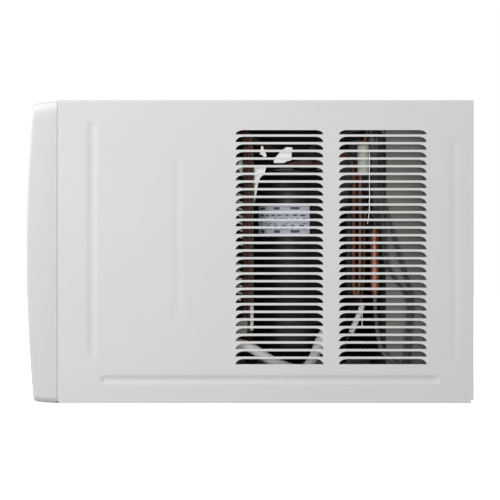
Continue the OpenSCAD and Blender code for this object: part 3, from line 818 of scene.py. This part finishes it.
ICON_STROKES = {
    "button_power": [arc(2.0, 120, 420), [(0, 0.4), (0, 2.6)]],
    "button_mode": [arc(1.0, 0, 360)] + [[polar(1.6, 60 * k), polar(2.5, 60 * k)]
                                         for k in range(6)],
    "button_fan": [arc(1.15, 120 * k - 60, 120 * k + 120, 10, *polar(1.3, 120 * k))
                   for k in range(3)],
    "button_down": [[(-2, 1), (0, -1.2), (2, 1)]],
    "button_up": [[(-2, -1), (0, 1.2), (2, -1)]],
    "button_timer": [arc(2.2, 0, 360), [(0, 1.4), (0, 0), (1.1, 0)]],
}
for node, strokes in ICON_STROKES.items():
    x, z = button_at[node]
    work = bmesh.new()
    for stroke in strokes:
        add_stroke(work, [(x + a, z + b) for a, b in stroke], 0.5, face_y(z) - 0.2,
                   face_y(z) + 0.05)
    piece(node + "_icon", work, node, surface="icon_ink")

glass = bmesh.new()
half_w, half_h = (DISPLAY[1] - DISPLAY[0]) / 2 - 0.2, (DISPLAY[3] - DISPLAY[2]) / 2 - 0.2
mid_x, mid_z = (DISPLAY[0] + DISPLAY[1]) / 2, (DISPLAY[2] + DISPLAY[3]) / 2
add_rings(glass, [[(mid_x + p.x, face_y(mid_z + p.y) + y, mid_z + p.y)
                   for p in rounded_rect(-half_w + d, half_w - d, -half_h + d, half_h - d, 1.2)]
                  for d, y in ((0.9, 0.95), (0.3, 1.05), (0.0, 1.4), (0.0, 3.2))])
piece("display_glass", glass, "display_window", ["display_window"])


def seven_segments(x, z, wide, high):
    """Strokes of a blank digit, all seven segments."""
    g = 0.35
    return [[(x + g, z + high), (x + wide - g, z + high)], [(x + g, z), (x + wide - g, z)],
            [(x + g, z + high / 2), (x + wide - g, z + high / 2)],
            [(x, z + g), (x, z + high / 2 - g)], [(x, z + high / 2 + g), (x, z + high - g)],
            [(x + wide, z + g), (x + wide, z + high / 2 - g)],
            [(x + wide, z + high / 2 + g), (x + wide, z + high - g)]]


material("unlit_segments", (0.05, 0.05, 0.055), 0.4, vary=0.1)
DIGIT_SIZE = (6.5, 12)
digits = bmesh.new()
for start in (-9.0, 2.5):
    for stroke in seven_segments(mid_x + start, mid_z - 6, *DIGIT_SIZE):
        add_stroke(digits, stroke, 1.0, face_y(mid_z) + 0.86, face_y(mid_z) + 1.0)
piece("display_digits", digits, "display_window", surface="unlit_segments")

# Outlet blades: a cambered section that stays round its pivot, with a pin at each end
BLADE_CHORD = 22.6
BLADE_GAP = 4                          # between a blade's end and the outlet's side
PIVOT_RADIUS = 2
for node in ("blade_low", "blade_mid", "blade_top"):
    low, high = box_mm(node)
    y, z = (low.y + high.y) / 2, (low.z + high.z) / 2
    upper, lower = [], []
    for k in range(17):
        s = -1 + 2 * k / 16
        thick = 0.45 + 0.85 * math.sqrt(max(0.0, 1 - s * s)) + (1.2 if abs(s) < 0.05 else 0.0)
        camber = 0.8 * (1 - s * s) - 0.4
        upper.append((s * BLADE_CHORD / 2, camber + thick))
        lower.append((s * BLADE_CHORD / 2, camber - thick))
    work = bmesh.new()
    pivot = [polar(PIVOT_RADIUS, 15 * k) for k in range(24)]
    left, right = OUTLET[0] + BLADE_GAP, OUTLET[1] - BLADE_GAP
    for outline, start, end in ((upper + lower[::-1], left, right), (pivot, low.x, left),
                                (pivot, right, high.x)):
        add_prism(work, outline, lambda p, x: (x, y + p[0], z + p[1]), start, end)
    piece(node + "_vane", work, node, [node], angle=50)


# ---- filter, seal and coils

mesh_low, mesh_high = box_mm("filter_mesh")
net = bmesh.new()
HALF_STRAND = 0.225
NET_CELL = 3
PANE_WIDTH, PANE_HEIGHT = 198, 130     # one of the filter's six panes
PANE_STEP_X, PANE_STEP_Z = 204, 138
for x0 in [mesh_low.x + PANE_STEP_X * k for k in range(3)]:
    for z0 in [mesh_low.z + PANE_STEP_Z * k for k in range(2)]:
        for x in [x0 + NET_CELL * k for k in range(1, 66)]:
            add_block(net, (x - HALF_STRAND, mesh_low.y + 0.1, z0),
                      (x + HALF_STRAND, mesh_low.y + 0.5, z0 + PANE_HEIGHT))
        for z in [z0 + NET_CELL * k - 1 for k in range(1, 44)]:
            add_block(net, (x0, mesh_low.y + 0.45, z - HALF_STRAND),
                      (x0 + PANE_WIDTH, mesh_high.y - 0.1, z + HALF_STRAND))
piece("filter_net", net, "filter_mesh", ["filter_mesh"])

# A block of the seal's black foam that closes the gap under the seam: painted shade, standing in
# for the dark inside of the unit seen through that gap
seal_low, seal_high = box_mm("front_seal")
gap_shade = bmesh.new()
add_block(gap_shade, (seal_low.x, seal_low.y + 0.4, 0.8), (seal_high.x, seal_high.y, seal_low.z))
piece("seal_gap_shade", gap_shade, "front_seal")

FIN_PITCH = 1.6
FIN_THICKNESS = 0.25
for node in ("evaporator_fins", "condenser_fins"):
    low, high = box_mm(node)
    fins = bmesh.new()
    for k in range(int((high.x - low.x) / FIN_PITCH)):
        x = low.x + 0.6 + FIN_PITCH * k
        add_block(fins, (x, low.y, low.z), (x + FIN_THICKNESS, high.y, high.z))
    piece(node + "_stack", fins, node, [node])


# ---- compressor

R = COMPRESSOR_RADIUS
FOOT_REACH = 73                        # from the shell's middle to a foot's
FOOT_RADIUS = 17
shell = bmesh.new()
add_lathe(shell, [(0.0, 58.0), (30, 58.3), (46, 61), (57, 68), (R - 3, 78), (R, 92), (R, 117),
                  (R + 0.7, 118.2), (R + 1, 120), (R + 1, 124), (R + 0.7, 125.8), (R, 127),
                  (R, 312), (R - 0.4, 320), (R - 2.4, 330), (R - 6.5, 339), (52, 347),
                  (41, 352.3), (26, 354.6), (0.0, 355)], COMPRESSOR, steps=96)
for turn in (60, 180, 300):
    centre = COMPRESSOR + Vector((*polar(FOOT_REACH, turn), 0))
    foot = [polar(FOOT_RADIUS, turn + t) for t in range(-90, 91, 15)]
    back_x, back_y = polar(60, turn)
    root = [(x - back_x, y - back_y) for x, y in (foot[-1], foot[0])]
    add_prism(shell, foot + root, lambda p, z, c=centre: (c.x + p[0], c.y + p[1], z), 50.2, 53.4)
piece("compressor_body", shell, "compressor_shell", ["compressor_shell"])

LABEL_LOW, LABEL_HIGH = 251, 297
LABEL_START, LABEL_SWEEP = -59, 77     # degrees round the shell
PRINT_START, PRINT_SWEEP = -55.0, 70


def label_layer(work, inner, outer, z0, z1, steps, start, sweep):
    """A thin sheet on the shell, between two distances from its face."""
    inner, outer = R + inner, R + outer
    add_closed_lathe(work, [(inner, z0), (outer, z0), (outer, z1), (inner, z1)], COMPRESSOR, steps,
                     start, sweep)


sheet = bmesh.new()
label_layer(sheet, 0.05, 0.3, LABEL_LOW, LABEL_HIGH, 24, LABEL_START, LABEL_SWEEP)
piece("label_sheet", sheet, "compressor_label", ["compressor_label"])
bars = bmesh.new()
# Rows of plain bars: height of the row, height of a bar, places for bars
LABEL_ROWS = ((291.5, 3.6, 3), (286.0, 1.2, 9), (281.5, 2.2, 7), (277.5, 1.2, 9), (274.0, 2.0, 8),
              (269.5, 1.2, 9), (265.5, 2.4, 6), (261.5, 1.0, 9), (256.0, 4.2, 3))
chance = random.Random(7)
for z, height, places in LABEL_ROWS:
    angle = PRINT_START + chance.uniform(0, 3)
    for k in range(places):
        width = chance.uniform(0.35, 0.85) * 66 / places
        if chance.random() < 0.8:
            label_layer(bars, 0.31, 0.36, z, z + height, 4, angle, width)
        angle += PRINT_SWEEP / places
piece("label_bars", bars, "compressor_label", surface="label_ink")

cover_low, cover_high = box_mm("compressor_terminal_cover")
cover = bmesh.new()
mid = (cover_low + cover_high) / 2
add_rings(cover, [[(mid.x + px, mid.y + py, z) for px, py in stadium_ring(56, 38, inset)]
                  for inset, z in ((0.0, 355.1), (0.0, 369), (0.6, 371.4), (2.2, 373))])
add_rings(cover, [[(mid.x + px, mid.y + py, z) for px, py in stadium_ring(20, 8, inset)]
                  for inset, z in ((0.0, 373), (0.0, 376.2), (0.7, 377))])
piece("terminal_cover", cover, "compressor_terminal_cover", ["compressor_terminal_cover"])

can = bmesh.new()
add_lathe(can, [(0.0, 150), (8, 151), (15, 155), (19, 160), (20, 165), (20, 285), (19, 291),
                (15, 296), (8, 299.5), (0.0, 300)], (192, 157, 0), steps=48)
add_tube(can, [(192, 157, 151), (192, 157, 138), (196, 150, 124), (203, 138, 116),
               (207, 131, 114)], 4.5, 16)
add_block(can, (186, 133, 220), (198, 140, 236))
piece("accumulator_can", can, "compressor_accumulator", ["compressor_accumulator"])


# ---- refrigerant lines and wiring

def tubes_piece(name, node, tubes, replaces=(), surface=None, sides=8):
    """One piece of several tubes: each is a route and a radius."""
    work = bmesh.new()
    for route, radius in tubes:
        add_tube(work, route, radius, sides)
    return piece(name, work, node, replaces, surface, angle=60)


DISCHARGE = [(236, 106, 349), (236, 106, 364), (247, 124, 376), (260, 148, 372), (264, 158, 350),
             (264, 158, 260), (264, 158, 180), (264, 162, 160), (264, 167, 180), (264, 168, 260),
             (264, 169, 350), (268, 176, 400), (284, 186, 422), (298, 200, 429), (301, 226, 430),
             (301, 262, 430), (299, 277, 425), (292, 281, 421), (287.2, 281, 421)]
HOSE = [(287.2, -242, 56), (292, -242, 56), (300, -238, 57), (302, -222, 61), (302, -160, 80),
        (299, -100, 88), (298, -51, 88), (296, -8, 86), (295, 34, 62), (294, 62, 51),
        (292, 82, 50), (289, 97, 68), (285, 108, 96), (278, 121, 112)]
SUCTION = [(278, 121, 112), (262, 140, 126), (236, 168, 160), (227, 177, 220), (226, 177, 296),
           (221, 173, 320), (206, 163, 330), (194, 158, 318), (192, 157, 299)]
LIQUID = [(264, 190.5, 161), (265, 191, 140), (280, 194, 104), (299, 202, 74), (303, 232, 52),
          (303, 262, 46), (301, 277, 54), (292, 281, 60), (287.2, 281, 60)]
CAPILLARY = [(262, 190.5, 263), (262, 189, 280), (260, 180, 292), (258, 174, 270), (262, 174, 200),
             (268, 168, 147), (276, 151, 103), (286, 130, 60), (296, 100, 40), (300, 50, 34),
             (301, -10, 38), (298, -51, 55), (298, -110, 46), (300, -200, 38), (299, -250, 40)]
tubes_piece("discharge_tube", "discharge_line", [(DISCHARGE, 3.6)], ["discharge_line"], sides=12)
tubes_piece("suction_tube", "suction_line", [(SUCTION, 5.0)], surface="black_rubber", sides=12)
hose = bmesh.new()
add_tube(hose, HOSE, 8.0, 20, ripple=lambda d: 1 - 0.02 * (1 + math.sin(d * 0.55)))
piece("suction_insulation", hose, "suction_line", ["suction_line"],
      "white_insulation", 60)
drier = bmesh.new()
add_lathe(drier, [(0.0, 160), (3.3, 160.3), (4.2, 163), (6.4, 168), (7.5, 173), (7.5, 252),
                  (6.6, 257), (4.2, 261), (3.2, 264), (0.0, 264)], (264, 190.5, 0), steps=40)
# The liquid line is copper, drawn in the dark weathered-steel colour: painted shade for the unlit
# part of the unit where it runs
tubes_piece("liquid_line", "filter_drier", [(LIQUID, 3.2)], surface="weathered_steel", sides=12)
piece("drier_body", drier, "filter_drier", ["filter_drier"], "bright_copper", 60)
tubes_piece("capillaries", "capillary_tubes",
            [([(x + s, y, z) for x, y, z in CAPILLARY]
              + [(292 + s / 2, -260, 42 + s), (287.2, -260, 42 + s)], 1.2) for s in (0, 4)],
            ["capillary_tubes"])


def bundle(dy, dx):
    """Route of a wire from the control box down to the fan motor."""
    return [(282, -66, 405), (284, -48, 405), (290, -24 + dy, 409), (297 + dx, -4 + dy, 398),
            (298 + dx, -2 + dy, 330), (297 + dx, -2 + dy, 240), (294 + dx, -2 + dy, 150),
            (278, -4 + dy, 96), (230, -12 + dy, 70), (130, -16 + dy, 84), (30, -12 + dy, 150),
            (-10, -4 + dy, 200), (-23, -2 + dy, 214)]


tubes_piece("harness_red_wires", "harness_red", [(bundle(-4.6, 0), 1.4), (bundle(0.6, 1), 1.4),
                                                 (bundle(3.4, -2), 1.3)], ["harness_red"])
tubes_piece("harness_brown_wires", "harness_red",
            [(bundle(-7.4, -1), 1.4), (bundle(-2.0, -3), 1.4)], surface="brown_wire")
tubes_piece("harness_ochre_wire", "harness_red", [(bundle(6.0, -2), 1.1)], surface="ochre_wire")

# Black bundle with a white wrap wound round it, from the control box to the floor
SLEEVE = [(284, -15, 366), (284, -14, 330), (284, -14, 260), (284, -14, 190), (284, -14, 152)]
tubes_piece("wrapped_bundle", "harness_white",
            [([(288, -50, 398), (286, -30, 392)] + SLEEVE
              + [(276, -16, 110), (262, -26, 80), (246, -36, 66)], 4.6)], ["harness_white"],
            surface="black_rubber", sides=14)
WRAP_TURNS = 20
WRAP_PITCH = 10.6
wrap = []
for k in range(WRAP_TURNS * 8 + 1):
    x, y = polar(5.4, 45 * k)
    wrap.append((284 + x, -14 + y, 366 - WRAP_PITCH * k / 8))
tubes_piece("white_wrap", "harness_white", [(wrap, 1.7)], surface="white_nylon")
tubes_piece("compressor_leads", "harness_white",
            [([(286, -48, 410 + 3 * k), (284, -24, 414), (276, 10, 396 - 6 * k),
               (256, 48, 380 + 2 * k), (240, 72, 379 + 3 * k), (228, 84, 378 + 3 * k)], 1.4)
             for k in (0, 1)], surface="brown_wire")
tubes_piece("compressor_red_leads", "harness_white",
            [([(272, 34, 358), (284, 54, 357 + 2 * k), (288, 70, 361 + 2 * k),
               (287, 88, 361.5 + 1.6 * k), (282, 108, 356.5 + k), (262, 112, 358),
               (243, 100, 366)], 1.1) for k in (0, 1)], surface="red_wire")
tubes_piece("white_lead", "harness_white",
            [([(296, 180.6, 378), (296, 180.6, 340), (296, 180.4, 292), (290, 178, 270)], 0.55),
             ([(296, 169.5, 146), (296, 169.6, 130), (294, 169.5, 114)], 0.6)],
            surface="white_nylon")
tubes_piece("white_sleeves", "harness_white",
            [([(294, 2.8, 148), (294, 2.8, 128), (293, 2.4, 109)], 2.7),
             ([(290, 170, 146), (290, 164, 130), (289, 153, 105)], 4.4)],
            surface="white_insulation", sides=14)

DARK_SLEEVE = [(288, 188, 410), (293, 197, 402), (293, 199, 390), (293, 199, 325)]
tubes_piece("dark_sleeve", "harness_dark", [(DARK_SLEEVE, 5.4)],
            surface="black_rubber", sides=16)
dark = []
for k in (0, 1):
    for j in (0, 1):
        dark.append(([(228 + 3 * j, 88 + 3 * k, 378.5), (238, 98 + 4 * k, 392),
                      (262, 130 + 4 * k, 404), (284, 176 + 4 * k, 412), (292, 197 + 3 * k, 398),
                      (293, 197 + 3 * k, 326), (295, 200 + 10 * k + 3 * j, 270),
                      (296, 206 + 22 * k + 4 * j, 206), (296, 236 + 6 * k + 3 * j, 156),
                      (296, 236 + 5 * k + 2 * j, 110), (296, 229 + 5 * k + 3 * j, 50),
                      (294, 204 + 4 * k, 22), (280, 150 + 4 * k, 14)], 1.5))
tubes_piece("dark_wires", "harness_dark", dark, ["harness_dark"])

# Flag connectors: both ends in X, and the outline in Y and Z
NYLON_SHAPES = (
    (274, 288, [(5.9, 354), (6.6, 356), (23.4, 356), (24.3, 354), (22, 346), (15.5, 340),
                (12, 330), (9.5, 314), (6.5, 301), (5.9, 303)]),
    (276, 287, [(17.5, 389), (20, 387), (21.5, 380), (25, 376), (24.8, 371.5), (21.5, 370.5),
                (18, 374), (14.5, 375.5), (15.5, 381)]),
    (274, 288, [(36, 364), (36.5, 368), (44, 377), (52, 384), (55, 386), (64, 386), (64.3, 384),
                (62.5, 366), (56, 364.5), (52, 362), (37, 362)]),
    (280, 292, [(-19, 353), (-19, 361), (-15, 365), (-6, 366), (-5, 364), (-5, 350), (-9, 346.5),
                (-14, 347)]),
)
nylon = bmesh.new()
for x0, x1, outline in NYLON_SHAPES:
    middle = Vector((sum(y for y, z in outline), sum(z for y, z in outline))) / len(outline)
    rings = []
    for x, draw in ((x0, 0.9), (x0 + 0.8, 1.0), (x1 - 0.8, 1.0), (x1 - 0.1, 0.93), (x1, 0.86)):
        rings.append([(x, middle.x + (y - middle.x) * draw, middle.y + (z - middle.y) * draw)
                      for y, z in outline])
    add_rings(nylon, rings)
piece("nylon_connectors", nylon, "wire_connectors", ["wire_connectors"], angle=30)

# Cream tape round the discharge line, and a foam block on the suction line
tape = bmesh.new()
add_lathe(tape, [(0.0, 346.5), (8.3, 347), (8.8, 349), (8.8, 387), (8.3, 389), (0.0, 389.5)],
          (280, 172, 0), steps=32)
piece("line_tape", tape, "discharge_line", surface="cream_tape")
foam = bmesh.new()
add_rings(foam, [[(x, -20.6 + d, 99 + d), (x, -20.6 + d, 126 - d), (x, -6 - d, 129 - d),
                  (x, -4 - d, 120), (x, -5 - d, 99 + d)]
                 for x, d in ((284, 0), (294, 0), (295.5, 1.2))])
piece("line_foam", foam, "suction_line", surface="olive_foam")


# ---- stage, light and camera

FLOOR_REACH = 9
FLOOR_HEIGHT = -0.0005                 # just under the unit's feet
STAGE_PAINT = material("stage_paint", (0.32, 0.32, 0.32), 0.9, vary=0.0, bump=0.0)
stage_shader = STAGE_PAINT.node_tree.nodes["Principled BSDF"]
stage_shader.inputs["Emission Color"].default_value = (1, 1, 1, 1)
stage_shader.inputs["Emission Strength"].default_value = 0.9
floor_mesh = bpy.data.meshes.new("floor")
floor_mesh.from_pydata([(sx * FLOOR_REACH, sy * FLOOR_REACH, FLOOR_HEIGHT)
                        for sx, sy in ((-1, -1), (1, -1), (1, 1), (-1, 1))], [], [(0, 1, 2, 3)])
floor_mesh.materials.append(STAGE_PAINT)
add_object("floor", floor_mesh)


def area_light(name, place, target, size, power):
    """A white panel of light, size in metres and power in watts, aimed at a target."""
    data = bpy.data.lights.new(name, "AREA")
    data.shape = "RECTANGLE"
    data.size, data.size_y = size
    data.energy = power
    lamp = add_object(name, data)
    lamp.location = place
    lamp.rotation_euler = (Vector(target) - Vector(place)).to_track_quat("-Z", "Y").to_euler()


world = bpy.data.worlds.new("studio")
bpy.context.scene.world = world
world.use_nodes = True
world.node_tree.nodes["Background"].inputs["Color"].default_value = (1, 1, 1, 1)
world.node_tree.nodes["Background"].inputs["Strength"].default_value = 1.0
area_light("key", (2.1, -1.65, 2.3), (0.33, -0.05, 0.25), (0.9, 0.9), 190.0)
area_light("front_fill", (4.3, -1.5, 0.5), (0.33, 0.0, 0.23), (0.8, 0.6), 50.0)
area_light("room_side", (-0.6, -3.2, 1.2), (0.0, -0.33, 0.25), (1.6, 1.2), 72.0)

LENS = 200.0
SENSOR = 36.0
FRAME_WIDTH = 0.75                     # metres across the picture at the side panel
CAMERA_HEIGHT = 0.230
camera_data = bpy.data.cameras.new("camera")
camera_data.lens = LENS
camera_data.sensor_width = SENSOR
camera = add_object("camera", camera_data)
distance = FRAME_WIDTH * LENS / SENSOR
camera.location = (HALF_WIDTH * MM + distance, 0.0, CAMERA_HEIGHT)
camera.rotation_euler = (math.radians(90), 0, math.radians(90))
bpy.context.scene.camera = camera
bpy.context.scene.view_settings.view_transform = "Standard"
